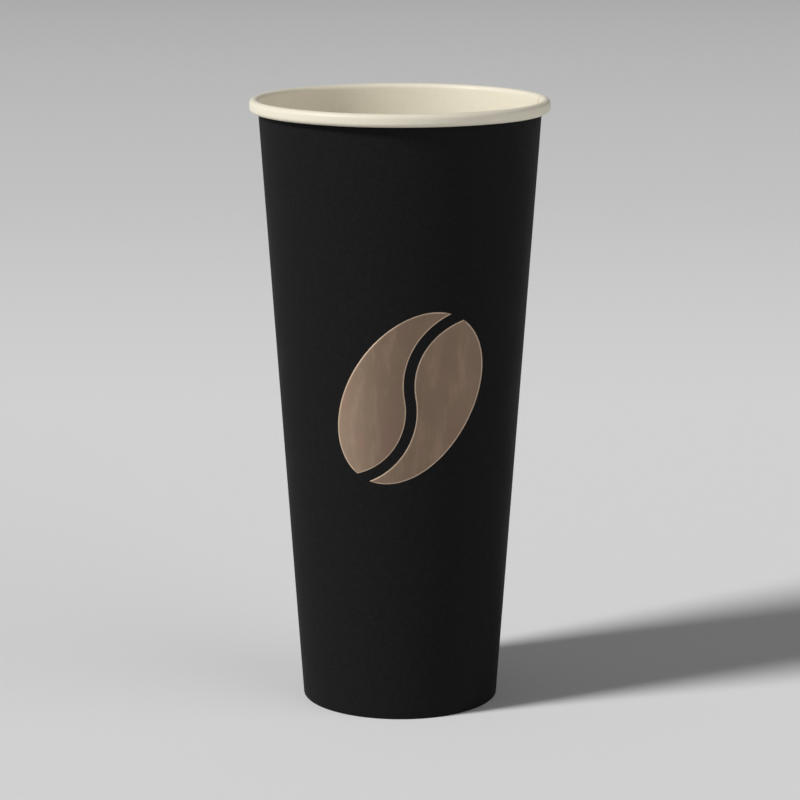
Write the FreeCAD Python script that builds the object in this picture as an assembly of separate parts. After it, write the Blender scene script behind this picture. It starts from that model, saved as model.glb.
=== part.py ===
import FreeCAD, Part

import math
import os

# A tall single-wall paper coffee cup, in millimetres, standing on the plane z = 0 with its axis on Z.
# It is two pieces of paperboard and a foil print. The sidewall is one fan-shaped blank wrapped into a
# cone and glued where its ends overlap, with its top edge rolled outwards into the drinking rim and its
# bottom edge folded in and up as a hem. The bottom is a disc with its edge turned down into a skirt,
# which the hem holds against the sidewall. The print, the two halves of a coffee bean, faces -Y, and the
# seam is just behind +X. The wall's outer face is the cone that everything is placed from: an inset is a
# distance from it towards the axis, square to the wall.

# Overall sizes. The foot's diameter is the outer cone's, continued down to the plane it stands on.
HEIGHT = 184.5
RIM_DIAMETER = 90.0
FOOT_DIAMETER = 59.6

# Paperboard
WALL_BOARD = 0.42
BOTTOM_BOARD = 0.32

# Rolled rim
BEAD_HEIGHT = 3.9
BEAD_OVERHANG = 2.6
CURL_GAP = 0.08
CURL_END_TURN = 150.0

# Foot: the sidewall's fold and hem, and the bottom that stands in them
FOLD_INNER_RADIUS = 0.06
RECESS_DEPTH = 9.5
HEM_BELOW_PANEL = 1.3
CORNER_INNER_RADIUS = 0.44
SKIRT_END_GAP = 0.3
SEAL_GAP = 0.03

# Side seam. Its middle is this many degrees round from +X towards +Y.
SEAM_MIDDLE = 16.0
SEAM_OVERLAP = 7.5
SEAM_RAMP = 1.4
SEAM_ROOT = 0.1

# Foil print
BEAN_LENGTH = 56.0
BEAN_WIDTH = 37.0
BEAN_TILT = 30.0
BEAN_CENTRE_X = 3.0
BEAN_CENTRE_Z = 100.0
GROOVE_WIDTH = 3.2
GROOVE_TURN = 80.0
FOIL_THICKNESS = 0.1
FOIL_SEAT = 0.01

# What follows from these
RIM_RADIUS = RIM_DIAMETER / 2
FOOT_RADIUS = FOOT_DIAMETER / 2
BEAD_UNDERSIDE = HEIGHT - BEAD_HEIGHT
PANEL_TOP = RECESS_DEPTH + BOTTOM_BOARD
HALF_WALL = WALL_BOARD / 2
FOLD_RADIUS = FOLD_INNER_RADIUS + HALF_WALL
FOLD_LEVEL = WALL_BOARD + FOLD_INNER_RADIUS
TAPER = math.atan((RIM_RADIUS - BEAD_OVERHANG - FOOT_RADIUS) / BEAD_UNDERSIDE)
LEAN = math.degrees(TAPER)
ORIGIN = FreeCAD.Vector(0, 0, 0)
UP = FreeCAD.Vector(0, 0, 1)
SIDEWAYS = FreeCAD.Vector(0, 1, 0)


def cone_radius(z, inset=0.0):
    """Radius, at height z, of the cone that lies the inset inside the wall's outer face."""
    return FOOT_RADIUS + z * math.tan(TAPER) - inset / math.cos(TAPER)


def direction(heading):
    """Unit vector in the XZ plane: 0 degrees is outwards along X and 90 degrees is up."""
    angle = math.radians(heading)
    return FreeCAD.Vector(math.cos(angle), 0, math.sin(angle))


def at(radius, z):
    """Point of a section, in the XZ plane."""
    return FreeCAD.Vector(radius, 0, z)


def around(radius, angle, z):
    """Point at an angle, in degrees, round the cup."""
    turn = math.radians(angle)
    return FreeCAD.Vector(radius * math.cos(turn), radius * math.sin(turn), z)


def turned(face, sweep=360):
    """Solid that a face makes when it turns about the cup's axis."""
    return face.revolve(ORIGIN, UP, sweep)


def polygon(points):
    return Part.makePolygon(points + points[:1])


def strip(start, heading, steps, width):
    """Face of a bent strip of even width in the XZ plane, drawn along its middle line.

    A step is ("run", length) or ("bend", radius, turn), where a positive turn bends to the left.
    """
    sides = {1: [], -1: []}
    here = start
    for kind, size, *turn in steps:
        if kind == "run":
            there = here + direction(heading) * size
            for side, edges in sides.items():
                aside = direction(heading + 90) * (side * width / 2)
                edges.append(Part.makeLine(here + aside, there + aside))
        else:
            bend = turn[0]
            way = math.copysign(1, bend)
            spoke = heading - 90 * way
            centre = here - direction(spoke) * size
            there = centre + direction(spoke + bend) * size
            for side, edges in sides.items():
                radius = size - way * side * width / 2
                points = [centre + direction(spoke + share * bend) * radius for share in (0, 0.5, 1)]
                edges.append(Part.Arc(*points).toShape())
            heading += bend
        here = there
    left, right = sides[1], sides[-1]
    first_end = Part.makeLine(right[0].firstVertex().Point, left[0].firstVertex().Point)
    last_end = Part.makeLine(left[-1].lastVertex().Point, right[-1].lastVertex().Point)
    return Part.Face(Part.Wire([first_end] + left + [last_end] + right[::-1]))


def fold_bend_radii():
    """Radii of the centres of the fold's outer and inner bends. The cup stands on the flat between them."""
    leg_spacing = WALL_BOARD + BOTTOM_BOARD + 2 * SEAL_GAP
    outer = cone_radius(FOLD_LEVEL, HALF_WALL + FOLD_RADIUS)
    flat = (leg_spacing - 2 * FOLD_RADIUS) / math.cos(TAPER)
    return outer, outer - flat


def curl_sizes():
    """Radii of the rim's top and bottom bends, and the straight run down its outer side between them.

    The top bend starts along the wall and ends straight down on the rim's outer diameter. The bottom bend
    starts there, touches the bead's underside and ends along the wall, a gap away from it.
    """
    along, across, slope = math.cos(TAPER), math.sin(TAPER), math.tan(TAPER)
    side_radius = RIM_RADIUS - HALF_WALL
    top_reach = side_radius - cone_radius(HEIGHT - HALF_WALL, HALF_WALL)
    top_bend = top_reach / (1 + along - (1 - across) * slope)
    side_inset = (cone_radius(BEAD_UNDERSIDE + HALF_WALL) - side_radius) * along
    bottom_bend = -(side_inset + CURL_GAP + HALF_WALL) / (1 + along + across)
    side_run = BEAD_HEIGHT - WALL_BOARD - top_bend - bottom_bend
    return top_bend, bottom_bend, side_run


def sidewall_section():
    """The sheet in section: from the hem's edge down, round the fold, up the wall and round the curl."""
    outer_fold, inner_fold = fold_bend_radii()
    top_bend, bottom_bend, side_run = curl_sizes()
    hem_foot = at(inner_fold, FOLD_LEVEL) + direction(180 - LEAN) * FOLD_RADIUS
    hem_run = (RECESS_DEPTH - HEM_BELOW_PANEL - hem_foot.z) / math.cos(TAPER)
    wall_foot = at(outer_fold, FOLD_LEVEL) + direction(-LEAN) * FOLD_RADIUS
    wall_top = HEIGHT - HALF_WALL - top_bend * (1 - math.sin(TAPER))
    wall_run = (wall_top - wall_foot.z) / math.cos(TAPER)
    steps = [
        ("run", hem_run),
        ("bend", FOLD_RADIUS, 90 + LEAN),
        ("run", outer_fold - inner_fold),
        ("bend", FOLD_RADIUS, 90 - LEAN),
        ("run", wall_run),
        ("bend", top_bend, LEAN - 180),
        ("run", side_run),
        ("bend", bottom_bend, -180 - LEAN),
        ("run", side_run / 2),
        ("bend", bottom_bend / 2, -CURL_END_TURN),
    ]
    hem_edge = hem_foot + direction(90 - LEAN) * hem_run
    return strip(hem_edge, -90 - LEAN, steps, WALL_BOARD)


def seam_angles():
    """Angles of the start of the outer end's rise, of the inner end's edge and of the outer end's edge."""
    middle = cone_radius(HEIGHT / 2)
    overlap = math.degrees(SEAM_OVERLAP / middle)
    inner_edge = SEAM_MIDDLE - overlap / 2
    return inner_edge - math.degrees(SEAM_RAMP / middle), inner_edge, inner_edge + overlap


def seam_ramp(inset, root, low, high):
    """Wedge that rises by one board from a face of the wall, as the outer end climbs over the inner one."""
    rise, inner_edge, _ = seam_angles()
    wires = []
    for z in (low, high):
        corners = [
            around(cone_radius(z, inset), rise, z),
            around(cone_radius(z, inset - WALL_BOARD), inner_edge, z),
            around(cone_radius(z, root), inner_edge, z),
            around(cone_radius(z, root), rise, z),
        ]
        wires.append(polygon(corners))
    return Part.makeLoft(wires, True, True)


def seam_lap():
    """The blank's outer end, from its rise to its edge, between the fold and the rim."""
    _, inner_edge, outer_edge = seam_angles()
    low, high = FOLD_LEVEL, BEAD_UNDERSIDE
    corners = [(low, SEAM_ROOT), (high, SEAM_ROOT), (high, -WALL_BOARD), (low, -WALL_BOARD)]
    layer = Part.Face(polygon([at(cone_radius(z, inset), z) for z, inset in corners]))
    layer.rotate(ORIGIN, UP, inner_edge)
    return turned(layer, outer_edge - inner_edge).fuse(seam_ramp(0, SEAM_ROOT, low, high))


def seam_step():
    """The groove inside the cup between the rising outer end and the inner end's edge."""
    return seam_ramp(WALL_BOARD, WALL_BOARD + SEAM_ROOT, PANEL_TOP, BEAD_UNDERSIDE)


def sidewall():
    return turned(sidewall_section()).fuse(seam_lap()).cut(seam_step()).removeSplitter()


def bottom():
    """A flat panel with its edge bent down into a skirt, which stands between the sidewall and its hem."""
    bend = CORNER_INNER_RADIUS + BOTTOM_BOARD / 2
    panel_middle = RECESS_DEPTH + BOTTOM_BOARD / 2
    skirt_inset = WALL_BOARD + SEAL_GAP + BOTTOM_BOARD / 2
    corner = at(cone_radius(panel_middle - bend, skirt_inset + bend), panel_middle - bend)
    skirt_top = corner + direction(-LEAN) * bend
    skirt_end = WALL_BOARD + SKIRT_END_GAP
    steps = [
        ("run", corner.x),
        ("bend", bend, -90 - LEAN),
        ("run", (skirt_top.z - skirt_end) / math.cos(TAPER)),
    ]
    return turned(strip(at(0, panel_middle), 0, steps, BOTTOM_BOARD))


def bean_groove():
    """Groove in the shape of an S along the bean, run out past both tips."""
    quarter = BEAN_LENGTH / 4
    bend = quarter / math.sin(math.radians(GROOVE_TURN / 2))
    heading = 90 - GROOVE_TURN / 2
    steps = [
        ("run", GROOVE_WIDTH),
        ("bend", bend, GROOVE_TURN),
        ("bend", bend, -GROOVE_TURN),
        ("run", GROOVE_WIDTH),
    ]
    start = at(0, -BEAN_LENGTH / 2) - direction(heading) * GROOVE_WIDTH
    return strip(start, heading, steps, GROOVE_WIDTH)


def foil_halves():
    """The print's left and right halves: a thin cone on the wall, cut to a bean's outline seen from -Y."""
    ellipse = Part.Ellipse(at(0, BEAN_LENGTH / 2), at(BEAN_WIDTH / 2, 0), ORIGIN).toShape()
    bean = Part.Face(Part.Wire(ellipse)).cut(bean_groove())
    bean.rotate(ORIGIN, SIDEWAYS, BEAN_TILT)
    bean.translate(at(BEAN_CENTRE_X, BEAN_CENTRE_Z))
    low, high = BEAN_CENTRE_Z - BEAN_LENGTH / 2, BEAN_CENTRE_Z + BEAN_LENGTH / 2
    seat, face = -FOIL_SEAT, -FOIL_SEAT - FOIL_THICKNESS
    corners = [(low, seat), (high, seat), (high, face), (low, face)]
    foil = turned(Part.Face(polygon([at(cone_radius(z, inset), z) for z, inset in corners])))
    halves = [half.extrude(SIDEWAYS * -RIM_RADIUS).common(foil) for half in bean.Faces]
    return sorted(halves, key=lambda half: half.BoundBox.XMin)


def main():
    left_half, right_half = foil_halves()
    nodes = {
        "sidewall": sidewall(),
        "bottom": bottom(),
        "foil_left_half": left_half,
        "foil_right_half": right_half,
    }
    os.makedirs("parts", exist_ok=True)
    for name, shape in nodes.items():
        shape.exportStep(f"parts/{name}.step")


main()
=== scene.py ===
import math

import bmesh
import bpy
import numpy as np
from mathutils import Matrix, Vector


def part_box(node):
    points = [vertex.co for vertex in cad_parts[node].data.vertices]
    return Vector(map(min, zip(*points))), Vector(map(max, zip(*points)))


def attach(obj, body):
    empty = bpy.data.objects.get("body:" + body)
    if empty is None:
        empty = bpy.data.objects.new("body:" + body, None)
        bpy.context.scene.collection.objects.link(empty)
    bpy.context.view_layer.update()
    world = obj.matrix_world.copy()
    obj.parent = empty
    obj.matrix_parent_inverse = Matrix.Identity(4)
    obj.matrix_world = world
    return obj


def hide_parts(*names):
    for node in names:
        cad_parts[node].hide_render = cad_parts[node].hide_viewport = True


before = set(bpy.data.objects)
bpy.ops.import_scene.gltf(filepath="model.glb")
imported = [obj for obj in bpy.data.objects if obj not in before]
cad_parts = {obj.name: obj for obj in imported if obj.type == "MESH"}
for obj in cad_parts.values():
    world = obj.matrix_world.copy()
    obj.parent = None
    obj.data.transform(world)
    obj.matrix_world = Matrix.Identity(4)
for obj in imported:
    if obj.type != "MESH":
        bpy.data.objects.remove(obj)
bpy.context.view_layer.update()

# A tall paper coffee cup: matt black print outside, cream board inside and round the rolled rim, and a
# bronze foil coffee bean on the front. Everything is in metres, +Z is up and -Y is the front.

MM = 0.001

# The cup's sizes. The overall ones come from the frame.
HEIGHT = round(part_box("sidewall")[1].z, 4)
RIM_RADIUS = round(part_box("sidewall")[1].x, 4)
FOOT_RADIUS = 29.8 * MM
WALL_BOARD = 0.42 * MM
BOTTOM_BOARD = 0.32 * MM
BEAD_HEIGHT = 3.9 * MM
BEAD_OVERHANG = 2.6 * MM
CURL_GAP = 0.08 * MM
CURL_END_TURN = math.radians(150)
FOLD_INNER_RADIUS = 0.06 * MM
RECESS_DEPTH = 9.5 * MM
HEM_BELOW_PANEL = 1.3 * MM
CORNER_INNER_RADIUS = 0.44 * MM
SKIRT_END_GAP = 0.3 * MM
SEAL_GAP = 0.03 * MM

# Side seam. Its middle is this far round from +X towards +Y.
SEAM_MIDDLE = math.radians(16)
SEAM_OVERLAP = 7.5 * MM
SEAM_RAMP = 1.4 * MM
CUT_EDGE_SLANT = 0.03 * MM

# Foil print
BEAN_LENGTH = 56 * MM
BEAN_WIDTH = 37 * MM
BEAN_TILT = math.radians(30)
BEAN_CENTRE = (3 * MM, 100 * MM)
GROOVE_WIDTH = 3.2 * MM
GROOVE_TURN = math.radians(80)
FOIL_THICKNESS = 0.1 * MM
FOIL_SEAT = 0.01 * MM
FOIL_BEVEL = 0.34 * MM

# What follows from these
BEAD_UNDERSIDE = HEIGHT - BEAD_HEIGHT
PANEL_TOP = RECESS_DEPTH + BOTTOM_BOARD
HALF_WALL = WALL_BOARD / 2
FOLD_RADIUS = FOLD_INNER_RADIUS + HALF_WALL
FOLD_LEVEL = WALL_BOARD + FOLD_INNER_RADIUS
SLOPE = (RIM_RADIUS - BEAD_OVERHANG - FOOT_RADIUS) / BEAD_UNDERSIDE
LEAN = math.atan(SLOPE)

# Fine unevenness: waves of the wall and the rim, ridges pressed into the hem, the bottom's sag and gathers
WALL_WAVE = 0.03 * MM
RIM_WAVE = 0.035 * MM
RIDGE_DEPTH = 0.05 * MM
BOTTOM_SAG = 0.25 * MM
BOTTOM_GATHER = 0.02 * MM

# Finishes, in the order of each piece's materials, and how far up the hem the print goes
PRINT, BOARD, CUT = 0, 1, 2
FILM, PULP = 0, 1
# The foil's EDGE finish is paler than its FACE: a painted highlight along the foil's edge.
FACE, EDGE = 0, 1
PRINT_END = 2.4 * MM

# How finely the meshes are divided. An even column gives way where one of the seam's is this near, in
# radians. Lengths and angles are the same where they differ by less than SAME.
COLUMNS = 480
RIDGES = COLUMNS // 4
BOTTOM_COLUMNS = 240
FOIL_ROWS = 72
FOIL_COLUMNS = 22
COLUMN_CLEARANCE = 0.003
SHARP_EDGE = math.radians(32)
SAME = 1e-7

# The photograph's view: the camera's place, its tilt down from level in degrees, and its lens in millimetres
CAMERA_PLACE = (0, -0.90833, 0.28071)
CAMERA_DIP = 11.723
CAMERA_LENS = 136.89
CAMERA_SENSOR = 36
CAMERA_CLIP = 0.01

# Lamps: name and strength, then angle across, height and turn from the front to the right, in degrees
LAMPS = [
    ("key", 2.75, 11, 38, -64),
    ("fill", 0.95, 70, 14, 60),
]

# The studio's brightness, from the horizon to overhead, and its shares at the left and at the right. It is
# as dark as overhead from this share of the way up.
HORIZON, OVERHEAD = 0.44, 0.045
OVERHEAD_FROM = 0.7
LEFT_SHARE, RIGHT_SHARE = 1.45, 0.5

# The floor: half its width, its level, the depth that its shades are spread over, its shades at distances
# behind the cup's axis (painted shade, darker towards the back for the light's fall-off), and the one shade
# that it casts back on the cup
FLOOR_REACH = 5.0
FLOOR_LEVEL = -0.02 * MM
FLOOR_DEPTH = 3.0
FLOOR_PAINTED_FALLOFF = [(0.441, 0.89), (1.089, 0.75), (2.901, 0.57)]
FLOOR_BOUNCE = 0.6

# A mix node's colour sockets, by number, because its other sockets have the same names
MIX_FIRST, MIX_SECOND, MIX_RESULT = 6, 7, 2


def cone_radius(z, inset=0.0):
    """Radius, at height z, of the cone that lies the inset inside the wall's outer face."""
    return FOOT_RADIUS + z * SLOPE - inset / math.cos(LEAN)


# Small unevenness


def smooth_step(low, high, value):
    """0 below low, 1 above high and a smooth rise between."""
    share = np.clip((value - low) / (high - low), 0, 1)
    return share * share * (3 - 2 * share)


def wall_wave(angle, z):
    """How far the wall strays from its true cone: the long shallow waves of a rolled sheet."""
    fade = smooth_step(0, 30 * MM, z) * smooth_step(0, 12 * MM, BEAD_UNDERSIDE - z)
    wave = np.sin(2 * angle + 0.8) + 0.6 * np.sin(3 * angle - 1.1 + 9 * z) + 0.3 * np.sin(7 * angle + 14 * z)
    return WALL_WAVE * fade * wave


def rim_wave(angle):
    """How far above its full height the rim lies, round the cup: never more than 0."""
    wave = np.sin(2 * angle - 0.4) + 0.5 * np.sin(5 * angle + 1.3) + 0.3 * np.sin(11 * angle)
    highest = 1 + 0.5 + 0.3
    return RIM_WAVE * (wave - highest)


# The sheet in section


def middle_line(start, heading, steps):
    """Points, headings and step names along a bent sheet's middle line, in the plane of radius and height.

    A step is (name, length, turn, pieces). A turn is in radians, and positive to the left.
    """
    points, headings, names = [np.array(start)], [heading], [steps[0][0]]
    for name, length, turn, pieces in steps:
        share = turn / pieces
        chord = length / pieces * np.sinc(share / 2 / math.pi)
        for _ in range(pieces):
            way = headings[-1] + share / 2
            points.append(points[-1] + chord * np.array([math.cos(way), math.sin(way)]))
            headings.append(headings[-1] + share)
            names.append(name)
    return np.array(points), np.array(headings), names


def bend(name, radius, turn, pieces):
    """A step of a middle line, round a bend of this radius."""
    return name, radius * abs(turn), turn, pieces


def fold_bend_radii():
    """Radii of the centres of the fold's outer and inner bends. The cup stands on the flat between them."""
    leg_spacing = WALL_BOARD + BOTTOM_BOARD + 2 * SEAL_GAP
    outer = cone_radius(FOLD_LEVEL, HALF_WALL + FOLD_RADIUS)
    return outer, outer - (leg_spacing - 2 * FOLD_RADIUS) / math.cos(LEAN)


def curl_sizes():
    """Radii of the rim's top and bottom bends, and the straight run down its outer side between them."""
    along, across = math.cos(LEAN), math.sin(LEAN)
    side_radius = RIM_RADIUS - HALF_WALL
    top_reach = side_radius - cone_radius(HEIGHT - HALF_WALL, HALF_WALL)
    top_bend = top_reach / (1 + along - (1 - across) * SLOPE)
    side_inset = (cone_radius(BEAD_UNDERSIDE + HALF_WALL) - side_radius) * along
    bottom_bend = -(side_inset + CURL_GAP + HALF_WALL) / (1 + along + across)
    return top_bend, bottom_bend, BEAD_HEIGHT - WALL_BOARD - top_bend - bottom_bend


def sidewall_line():
    """The sidewall from the hem's edge down, round the fold, up the wall and round the rim's curl."""
    quarter = math.pi / 2
    along, across = math.cos(LEAN), math.sin(LEAN)
    outer_fold, inner_fold = fold_bend_radii()
    top_bend, bottom_bend, side_run = curl_sizes()
    hem_foot = (inner_fold - FOLD_RADIUS * along, FOLD_LEVEL + FOLD_RADIUS * across)
    hem_run = (RECESS_DEPTH - HEM_BELOW_PANEL - hem_foot[1]) / along
    hem_edge = (hem_foot[0] + hem_run * across, hem_foot[1] + hem_run * along)
    # The rows are closer together near the rim, where the seam's forms end
    levels = [
        FOLD_LEVEL - FOLD_RADIUS * across,
        RECESS_DEPTH + 1.5 * MM,
        BEAD_UNDERSIDE - 1.5 * MM,
        BEAD_UNDERSIDE + 0.3 * MM,
        HEIGHT - HALF_WALL - top_bend * (1 - across),
    ]
    wall = [
        ("wall", (high - low) / along, 0, pieces)
        for low, high, pieces in zip(levels, levels[1:], (4, 16, 6, 2))
    ]
    steps = [
        ("hem", hem_run, 0, 14),
        bend("fold", FOLD_RADIUS, quarter + LEAN, 5),
        ("foot", outer_fold - inner_fold, 0, 1),
        bend("fold", FOLD_RADIUS, quarter - LEAN, 5),
        *wall,
        bend("rim", top_bend, LEAN - math.pi, 14),
        ("rim", side_run, 0, 2),
        bend("rim", bottom_bend, -math.pi - LEAN, 12),
        ("tail", side_run / 2, 0, 1),
        bend("tail", bottom_bend / 2, -CURL_END_TURN, 6),
    ]
    return middle_line(hem_edge, -quarter - LEAN, steps)


def bottom_line():
    """The bottom from its centre out, round the corner and down the skirt."""
    radius = CORNER_INNER_RADIUS + BOTTOM_BOARD / 2
    middle = RECESS_DEPTH + BOTTOM_BOARD / 2
    corner = cone_radius(middle - radius, WALL_BOARD + SEAL_GAP + BOTTOM_BOARD / 2 + radius)
    skirt_top = middle - radius * (1 + math.sin(LEAN))
    skirt_end = WALL_BOARD + SKIRT_END_GAP
    gathered = 4 * MM
    steps = [
        ("panel", corner - gathered, 0, 20),
        ("panel", gathered, 0, 10),
        bend("corner", radius, -math.pi / 2 - LEAN, 7),
        ("skirt", (skirt_top - skirt_end) / math.cos(LEAN), 0, 4),
    ]
    return middle_line((0.0, middle), 0.0, steps)


def sheet_outline(points, headings, thickness):
    """The sheet's section outline: its left side from start to end, and then its right side back."""
    left = np.stack([-np.sin(headings), np.cos(headings)], axis=1)
    places = np.concatenate([points + left * thickness / 2, (points - left * thickness / 2)[::-1]])
    return places, np.concatenate([left, -left[::-1]])


# The seam


def seam_angles():
    """Angles of the start of the outer end's rise, of the inner end's edge and of the outer end's edge."""
    middle = cone_radius(HEIGHT / 2)
    inner_edge = SEAM_MIDDLE - SEAM_OVERLAP / middle / 2
    return inner_edge - SEAM_RAMP / middle, inner_edge, inner_edge + SEAM_OVERLAP / middle


def column_angles():
    """Angles of the sidewall's columns: even all round, with more where the seam rises and steps."""
    rise, inner_edge, outer_edge = seam_angles()
    slant = CUT_EDGE_SLANT / cone_radius(HEIGHT / 2)
    rise_columns = 8
    seam = [*np.linspace(rise, inner_edge - slant, rise_columns), inner_edge]
    seam += [outer_edge - 3 * slant, outer_edge, outer_edge + slant]
    even = np.arange(COLUMNS) * 2 * math.pi / COLUMNS
    clear = [angle for angle in even if min(abs(angle - other) for other in seam) > COLUMN_CLEARANCE]
    return np.array(sorted(clear + seam))


def seam_lift(angles):
    """Shares of a board's thickness that the outer end adds outside the wall and takes off inside it."""
    rise, inner_edge, outer_edge = seam_angles()
    just_short = 1e-5
    climb = smooth_step(rise, inner_edge - just_short, angles)
    outside = np.where(angles <= outer_edge + SAME, climb, 0)
    inside = np.where(angles < inner_edge - SAME, climb, 0)
    return outside, inside


# Meshes


def add_piece(name, places, faces, materials, finishes=None):
    """A closed piece that rides with the cup, from its points, its faces and each face's finish."""
    mesh = bpy.data.meshes.new(name)
    mesh.from_pydata(np.asarray(places).tolist(), [], faces)
    for material in materials:
        mesh.materials.append(material)
    if finishes:
        mesh.polygons.foreach_set("material_index", finishes)
    made = bmesh.new()
    made.from_mesh(mesh)
    bmesh.ops.remove_doubles(made, verts=made.verts, dist=SAME)
    bmesh.ops.recalc_face_normals(made, faces=made.faces)
    for face in made.faces:
        face.smooth = True
    made.to_mesh(mesh)
    made.free()
    mesh.set_sharp_from_angle(angle=SHARP_EDGE)
    piece = bpy.data.objects.new(name, mesh)
    bpy.context.scene.collection.objects.link(piece)
    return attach(piece, "root")


def build_sidewall(materials):
    """One closed sheet all round, with its printed side, its plain side and its cut edges."""
    points, headings, names = sidewall_line()
    outline, normals = sheet_outline(points, headings, WALL_BOARD)
    radius, height = outline.T
    out = normals[:, 0]
    printed = np.arange(len(outline)) >= len(points)
    zones = np.array(names + names[::-1])
    on_wall, on_rim, on_hem = (zones == name for name in ("wall", "rim", "hem"))
    on_curl = on_rim | (zones == "tail")

    # How much of the board's thickness the seam adds to each row outside, and takes off inside. Both fade
    # towards the rim, and the step inside ends above the bottom too.
    lap = np.where(printed & ~on_curl, out**4, 0)
    lap = lap * smooth_step(0, 0.3 * MM, BEAD_UNDERSIDE - height)
    step = 1 - 0.5 * smooth_step(BEAD_UNDERSIDE - 1.2 * MM, BEAD_UNDERSIDE - 0.3 * MM, height)
    step = step * smooth_step(PANEL_TOP, PANEL_TOP + 1 * MM, height)
    step = step * np.where(on_rim, smooth_step(BEAD_UNDERSIDE, BEAD_UNDERSIDE + 1.5 * MM, height), on_wall)
    step = np.where(printed, 0, step)

    # Fine ridges pressed into the hem, where it is sealed to the bottom's skirt
    ridged = smooth_step(1.2 * MM, 2 * MM, height) * smooth_step(0.8 * MM, 1.6 * MM, height[0] - height)
    ridges = RIDGE_DEPTH * np.where(printed & on_hem, ridged, 0)

    # The rim's unevenness dies out in the 8 mm below it
    settle = smooth_step(BEAD_UNDERSIDE - 8 * MM, BEAD_UNDERSIDE, height)
    angles = column_angles()
    outside, inside = seam_lift(angles)
    places = []
    for angle, more, less in zip(angles, outside, inside):
        lift = WALL_BOARD * (more * lap - less * step) + ridges * (1 + math.sin(RIDGES * angle))
        r = radius + out * lift + wall_wave(angle, height) * on_wall
        z = height + normals[:, 1] * lift + rim_wave(angle) * settle
        places.append(np.stack([r * math.cos(angle), r * math.sin(angle), z], axis=1))
    places = np.concatenate(places)

    rows = len(outline)
    _, inner_edge, outer_edge = seam_angles()

    def finish(k, angle, next_angle):
        """The finish of the face from row k to the next, between two columns' angles."""
        after = (k + 1) % rows
        if printed[k] != printed[after]:
            return CUT
        zone = zones[k] if printed[k] else zones[after]
        if printed[k]:
            on_outer_edge = abs(angle - outer_edge) < SAME and zone in ("wall", "hem")
            return CUT if on_outer_edge or (zone == "hem" and height[k] > PRINT_END) else PRINT
        on_inner_edge = abs(next_angle - inner_edge) < SAME and zone == "wall"
        return CUT if on_inner_edge or zone in ("hem", "fold", "foot") else BOARD

    faces, finishes = [], []
    for column, angle in enumerate(angles):
        following = (column + 1) % len(angles)
        here, beside = column * rows, following * rows
        for k in range(rows):
            after = (k + 1) % rows
            faces.append((here + k, beside + k, beside + after, here + after))
            finishes.append(finish(k, angle, angles[following]))
    piece = add_piece("sidewall_sheet", places, faces, materials, finishes)
    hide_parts("sidewall")


def build_bottom(materials):
    """The bottom disc with its skirt, which sags a little and is gently gathered where it turns down."""
    points, headings, names = bottom_line()
    outline, _ = sheet_outline(points, headings, BOTTOM_BOARD)
    panel_radius = points[names.index("corner") - 1][0]
    share = outline[:, 0] / panel_radius
    sag = BOTTOM_SAG * np.clip(1 - share**2, 0, 1) ** 2
    gather_middle, gather_narrowness = 0.97, 20
    near_corner = np.exp(-(((share - gather_middle) * gather_narrowness) ** 2)) * (share < 1)
    r, level = outline[:, 0], outline[:, 1] - sag

    # A column has all rows but the outline's two ends, which lie on the cup's axis and are shared by all
    rows = len(outline) - 2
    places = []
    for column in range(BOTTOM_COLUMNS):
        angle = column * 2 * math.pi / BOTTOM_COLUMNS
        gathers = math.sin(40 * angle) + 0.6 * math.sin(23 * angle + 1)
        z = level + BOTTOM_GATHER * near_corner * gathers
        places.append(np.stack([r * math.cos(angle), r * math.sin(angle), z], axis=1)[1:-1])
    places = np.concatenate([*places, [[0, 0, level[0]], [0, 0, level[-1]]]])
    top, under = rows * BOTTOM_COLUMNS, rows * BOTTOM_COLUMNS + 1
    faces, finishes = [], []
    for column in range(BOTTOM_COLUMNS):
        here = column * rows
        beside = (column + 1) % BOTTOM_COLUMNS * rows
        faces.append((top, here, beside))
        finishes.append(FILM)
        for k in range(rows - 1):
            faces.append((here + k, here + k + 1, beside + k + 1, beside + k))
            finishes.append(FILM if k < len(points) - 2 else PULP)
        faces.append((here + rows - 1, under, beside + rows - 1))
        finishes.append(PULP)
    piece = add_piece("bottom_disc", places, faces, materials, finishes)
    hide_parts("bottom")


# The foil bean


def groove_edge(v, side):
    """Where the edge of the bean's S-shaped groove is across the bean, at v along it. The left side is -1."""
    half_turn = GROOVE_TURN / 2
    quarter = BEAN_LENGTH / 4
    middle = quarter / math.sin(half_turn)
    way = 1 if v < side * GROOVE_WIDTH / 2 * math.sin(half_turn) else -1
    radius = middle + way * side * GROOVE_WIDTH / 2
    from_centre = v + way * quarter
    reach = radius * math.sin(half_turn)
    inside = min(max(from_centre, -reach), reach)
    curve = way * (math.sqrt(radius**2 - inside**2) - middle * math.cos(half_turn))
    return curve + (from_centre - inside) * math.tan(half_turn)


def half_span(v, side):
    """The left and right limits of one half of the bean, at v along it."""
    rim = BEAN_WIDTH / 2 * math.sqrt(max(0.0, 1 - (2 * v / BEAN_LENGTH) ** 2))
    return (-rim, groove_edge(v, -1)) if side < 0 else (groove_edge(v, 1), rim)


def half_tip(side, way):
    """How far along the bean a half reaches, down where way is -1 and up where it is 1."""
    near, far = 0.0, way * BEAN_LENGTH / 2
    for _ in range(60):  # Each halves the range, down to the last digit
        v = (near + far) / 2
        low, high = half_span(v, side)
        near, far = (v, far) if high > low else (near, v)
    return near


def foil_point(across, along, lift):
    """A point of the print, lifted off the wall's outer face, as seen from -Y."""
    x = across * math.cos(BEAN_TILT) + along * math.sin(BEAN_TILT) + BEAN_CENTRE[0]
    z = -across * math.sin(BEAN_TILT) + along * math.cos(BEAN_TILT) + BEAN_CENTRE[1]
    radius = cone_radius(z, -lift)
    radius += wall_wave(math.atan2(-math.sqrt(radius**2 - x**2), x), z)
    return x, -math.sqrt(radius**2 - x**2), z


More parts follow.
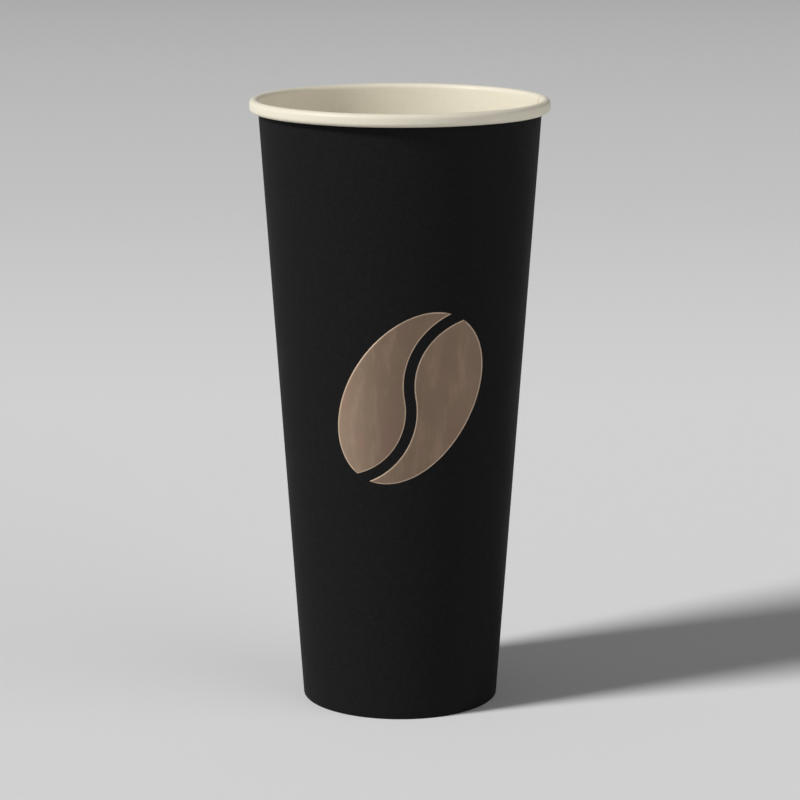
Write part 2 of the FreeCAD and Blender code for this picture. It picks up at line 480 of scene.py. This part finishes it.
def build_foil_half(name, node, side, materials):
    """One half of the bean: a thin raised patch with a rounded edge, whose paler colour is a painted
    highlight.
    """
    rows, inner = FOIL_ROWS, FOIL_COLUMNS
    bottom, top = half_tip(side, -1), half_tip(side, 1)
    nudge = 0.02 * MM
    widest_bevel = 0.35
    # The edge's rounding, as shares of the bevel's width and of the foil's thickness
    rounding = [(0.0, 0.25), (0.3, 0.75), (1.0, 1.0)]
    front, back = [], []
    for row in range(rows + 1):
        v = bottom + (top - bottom) * (1 - math.cos(math.pi * row / rows)) / 2
        low, high = half_span(v, side)
        before, after = half_span(max(v - nudge, bottom), side), half_span(min(v + nudge, top), side)
        bevels = [
            min(FOIL_BEVEL * math.hypot(1, (b - a) / (2 * nudge)), (high - low) * widest_bevel)
            for a, b in zip(before, after)
        ]
        stations = [(low + bevels[0] * share, lift) for share, lift in rounding]
        for k in range(1, inner):
            stations.append((low + bevels[0] + (high - low - sum(bevels)) * k / inner, 1.0))
        stations += [(high - bevels[1] * share, lift) for share, lift in reversed(rounding)]
        if row in (0, rows):
            stations = [(low, rounding[0][1])] * len(stations)
        front.append([foil_point(across, v, FOIL_SEAT + FOIL_THICKNESS * lift) for across, lift in stations])
        back.append([foil_point(across, v, FOIL_SEAT) for across, _ in stations])
    columns = len(front[0])
    behind = (rows + 1) * columns
    faces, finishes = [], []
    for row in range(rows):
        for k in range(columns - 1):
            a, b = row * columns + k, (row + 1) * columns + k
            faces.append((a, a + 1, b + 1, b))
            finishes.append(FACE if len(rounding) - 1 <= k < columns - len(rounding) else EDGE)
            faces.append((behind + a, behind + b, behind + b + 1, behind + a + 1))
            finishes.append(FACE)
        for k in (0, columns - 1):
            a, b = row * columns + k, (row + 1) * columns + k
            faces.append((a, b, behind + b, behind + a))
            finishes.append(EDGE)
    piece = add_piece(name, np.array(front + back).reshape(-1, 3), faces, materials, finishes)
    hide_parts(node)


# Materials


class Shader:
    """A new material with its main shader, and short ways to make the nodes that drive it."""

    def __init__(self, name, **values):
        self.material = bpy.data.materials.new(name)
        self.material.use_nodes = True
        self.tree = self.material.node_tree
        self.main = self.tree.nodes["Principled BSDF"]
        for key, value in values.items():
            self.main.inputs[key.replace("_", " ")].default_value = value

    def node(self, kind, **values):
        made = self.tree.nodes.new(kind)
        for key, value in values.items():
            setattr(made, key, value)
        return made

    def link(self, output, to):
        self.tree.links.new(output, to)

    def noise(self, scale, detail=3.0, roughness=0.5, stretch=(1, 1, 1)):
        """Noise from 0 to 1 in the cup's own space, with so many features to the metre."""
        place = self.node("ShaderNodeTexCoord")
        mapping = self.node("ShaderNodeMapping")
        mapping.inputs["Scale"].default_value = stretch
        noise = self.node("ShaderNodeTexNoise")
        noise.inputs["Scale"].default_value = scale
        noise.inputs["Detail"].default_value = detail
        noise.inputs["Roughness"].default_value = roughness
        self.link(place.outputs["Object"], mapping.inputs["Vector"])
        self.link(mapping.outputs["Vector"], noise.inputs["Vector"])
        return noise.outputs["Fac"]

    def ranged(self, value, low, high, from_low=0.3, from_high=0.7):
        """The value, mapped to run from low to high. Noise seldom leaves 0.3 to 0.7, so that is its range."""
        made = self.node("ShaderNodeMapRange")
        made.inputs["From Min"].default_value = from_low
        made.inputs["From Max"].default_value = from_high
        made.inputs["To Min"].default_value = low
        made.inputs["To Max"].default_value = high
        self.link(value, made.inputs["Value"])
        return made.outputs["Result"]

    def ramp(self, factor, stops):
        """A colour from a row of (place, colour) stops."""
        ramp = self.node("ShaderNodeValToRGB")
        elements = ramp.color_ramp.elements
        while len(elements) < len(stops):
            elements.new(1.0)
        for element, (place, colour) in zip(elements, stops):
            element.position = place
            element.color = (*colour, 1)
        self.link(factor, ramp.inputs["Fac"])
        return ramp.outputs["Color"]

    def colour(self, factor, stops):
        self.link(self.ramp(factor, stops), self.main.inputs["Base Color"])

    def rough(self, value, low, high):
        self.link(self.ranged(value, low, high), self.main.inputs["Roughness"])

    def bump(self, layers):
        """Bumps from (height, depth in metres) layers, added up."""
        normal = None
        for height, depth in layers:
            made = self.node("ShaderNodeBump")
            made.inputs["Strength"].default_value = 1.0
            made.inputs["Distance"].default_value = depth
            self.link(height, made.inputs["Height"])
            if normal:
                self.link(normal, made.inputs["Normal"])
            normal = made.outputs["Normal"]
        self.link(normal, self.main.inputs["Normal"])


def black_print():
    """Matt black ink on paperboard: fibres show through it as a fine tooth."""
    shader = Shader("black_print", Specular_IOR_Level=0.02)
    dark, light = (0.0112, 0.0112, 0.0116), (0.0150, 0.0148, 0.0151)
    shader.colour(shader.noise(900, 4, 0.6), [(0.3, dark), (0.7, light)])
    shader.rough(shader.noise(60, 3), 0.53, 0.61)
    tooth, waves = shader.noise(700, 4, 0.6, (1, 1, 0.6)), shader.noise(110, 2)
    shader.bump([(tooth, 0.02 * MM), (waves, 0.08 * MM)])
    return shader.material


def cream_board():
    """Smooth cream paperboard under a thin clear plastic film."""
    shader = Shader("cream_board", Specular_IOR_Level=0.5)
    dark, light = (0.83, 0.772, 0.625), (0.86, 0.802, 0.66)
    shader.colour(shader.noise(420, 5, 0.6), [(0.3, dark), (0.7, light)])
    shader.rough(shader.noise(150, 3), 0.46, 0.56)
    shader.bump([(shader.noise(900, 3, 0.6), 0.01 * MM), (shader.noise(140, 2), 0.06 * MM)])
    return shader.material


def cut_board():
    """The board's own pulp, at its cut edges and where neither ink nor film covers it."""
    shader = Shader("cut_board", Specular_IOR_Level=0.2)
    dark, light = (0.60, 0.54, 0.42), (0.72, 0.67, 0.56)
    shader.colour(shader.noise(1600, 4, 0.7), [(0.3, dark), (0.7, light)])
    shader.rough(shader.noise(300, 2), 0.8, 0.95)
    shader.bump([(shader.noise(1800, 4, 0.7), 0.03 * MM)])
    return shader.material


def foil_shader(name):
    """Rolled foil, whose highlights stretch up and down the cup."""
    shader = Shader(name, Metallic=0.7, Specular_IOR_Level=0.2, Anisotropic=0.64)
    upwards = shader.node("ShaderNodeCombineXYZ")
    upwards.inputs["Z"].default_value = 1
    shader.link(upwards.outputs["Vector"], shader.main.inputs["Tangent"])
    return shader


def bronze_foil():
    """Satin bronze foil, stamped on the board, clouded in soft bands with a faint change of hue."""
    shader = foil_shader("bronze_foil")
    bands = shader.noise(260, 4, 0.6, (1, 1, 0.25))
    pink, olive, pale = (0.290, 0.190, 0.146), (0.273, 0.200, 0.142), (0.340, 0.238, 0.175)
    shader.colour(bands, [(0.32, pink), (0.5, olive), (0.68, pale)])
    shader.rough(shader.noise(130, 3), 0.62, 0.70)
    shader.bump([(shader.noise(600, 3, 0.6), 0.015 * MM), (shader.noise(90, 2), 0.06 * MM)])
    return shader.material


def foil_edge_painted_highlight():
    """The foil's pressed edge, smoother than its face, in a paler colour that is a painted highlight along
    the edge.
    """
    shader = foil_shader("foil_edge_painted_highlight")
    # Paler than the face's bronze: a painted highlight.
    dark, light = (0.50, 0.375, 0.28), (0.60, 0.46, 0.34)
    shader.colour(shader.noise(400, 3), [(0.3, dark), (0.7, light)])
    shader.rough(shader.noise(300, 2), 0.52, 0.62)
    shader.bump([(shader.noise(900, 3, 0.6), 0.01 * MM)])
    return shader.material


def floor_paper():
    """A plain pale sheet, which darkens behind the cup: painted shade for the light's fall-off. On the cup it
    casts back one even shade.
    """
    shader = Shader("floor_paper", Roughness=0.9, Specular_IOR_Level=0.1)
    place = shader.node("ShaderNodeTexCoord")
    split = shader.node("ShaderNodeSeparateXYZ")
    shader.link(place.outputs["Object"], split.inputs["Vector"])
    depth = shader.ranged(split.outputs["Y"], 0, 1, 0, FLOOR_DEPTH)
    # Painted shade: darker with distance behind the cup, in place of the light's fall-off
    stops = [(distance / FLOOR_DEPTH, (shade, shade, shade)) for distance, shade in FLOOR_PAINTED_FALLOFF]
    pale = shader.ramp(depth, stops)
    path = shader.node("ShaderNodeLightPath")
    seen = path.outputs["Is Camera Ray"]
    for kind in ("Is Glossy Ray", "Is Transmission Ray"):
        either = shader.node("ShaderNodeMath", operation="MAXIMUM")
        shader.link(seen, either.inputs[0])
        shader.link(path.outputs[kind], either.inputs[1])
        seen = either.outputs["Value"]
    mix = shader.node("ShaderNodeMix", data_type="RGBA")
    shader.link(seen, mix.inputs["Factor"])
    mix.inputs[MIX_FIRST].default_value = (FLOOR_BOUNCE, FLOOR_BOUNCE, FLOOR_BOUNCE, 1)
    shader.link(pale, mix.inputs[MIX_SECOND])
    shader.link(mix.outputs[MIX_RESULT], shader.main.inputs["Base Color"])
    shader.bump([(shader.noise(500, 3), 0.03 * MM)])
    return shader.material


# The studio


def build_stage():
    """The floor that the cup stands on, too large for its edges to show in the photograph's view."""
    mesh = bpy.data.meshes.new("floor")
    ways = [(-1, -1), (1, -1), (1, 1), (-1, 1)]
    corners = [(x * FLOOR_REACH, y * FLOOR_REACH, FLOOR_LEVEL) for x, y in ways]
    mesh.from_pydata(corners, [], [(0, 1, 2, 3)])
    mesh.materials.append(floor_paper())
    floor = bpy.data.objects.new("floor", mesh)
    bpy.context.scene.collection.objects.link(floor)


def build_lamps():
    """A key lamp from the left and a broad weak one from the right."""
    for name, energy, across, elevation, turn in LAMPS:
        lamp = bpy.data.lights.new(name, "SUN")
        lamp.energy = energy
        lamp.angle = math.radians(across)
        holder = bpy.data.objects.new(name, lamp)
        holder.rotation_euler = (math.radians(90 - elevation), 0, math.radians(turn))
        bpy.context.scene.collection.objects.link(holder)


def build_world():
    """A dim studio all round, paler low down and to the left."""
    world = bpy.data.worlds.new("studio")
    bpy.context.scene.world = world
    world.use_nodes = True
    tree = world.node_tree
    background = tree.nodes["Background"]
    place = tree.nodes.new("ShaderNodeTexCoord")
    split = tree.nodes.new("ShaderNodeSeparateXYZ")
    fall = tree.nodes.new("ShaderNodeMapRange")
    fall.interpolation_type = "SMOOTHERSTEP"
    fall.inputs["From Max"].default_value = OVERHEAD_FROM
    fall.inputs["To Min"].default_value = HORIZON
    fall.inputs["To Max"].default_value = OVERHEAD
    tree.links.new(place.outputs["Generated"], split.inputs["Vector"])
    tree.links.new(split.outputs["Z"], fall.inputs["Value"])
    side = tree.nodes.new("ShaderNodeMapRange")
    side.inputs["From Min"].default_value = -1
    side.inputs["To Min"].default_value = LEFT_SHARE
    side.inputs["To Max"].default_value = RIGHT_SHARE
    tree.links.new(split.outputs["X"], side.inputs["Value"])
    both = tree.nodes.new("ShaderNodeMath")
    both.operation = "MULTIPLY"
    tree.links.new(fall.outputs["Result"], both.inputs[0])
    tree.links.new(side.outputs["Result"], both.inputs[1])
    tree.links.new(both.outputs["Value"], background.inputs["Strength"])
    background.inputs["Color"].default_value = (1, 1, 1, 1)


def build_camera():
    """The photograph's view: a long lens, in front and a little above."""
    lens = bpy.data.cameras.new("camera")
    lens.sensor_width = CAMERA_SENSOR
    lens.lens = CAMERA_LENS
    lens.clip_start = CAMERA_CLIP
    camera = bpy.data.objects.new("camera", lens)
    camera.location = CAMERA_PLACE
    camera.rotation_euler = (math.radians(90 - CAMERA_DIP), 0, 0)
    bpy.context.scene.collection.objects.link(camera)
    bpy.context.scene.camera = camera


build_camera()
build_lamps()
build_world()
build_stage()

ink, film, pulp = black_print(), cream_board(), cut_board()
foil = [bronze_foil(), foil_edge_painted_highlight()]
build_sidewall([ink, film, pulp])
build_bottom([film, pulp])
build_foil_half("foil_left", "foil_left_half", -1, foil)
build_foil_half("foil_right", "foil_right_half", 1, foil)

bpy.context.scene.view_settings.view_transform = "Standard"
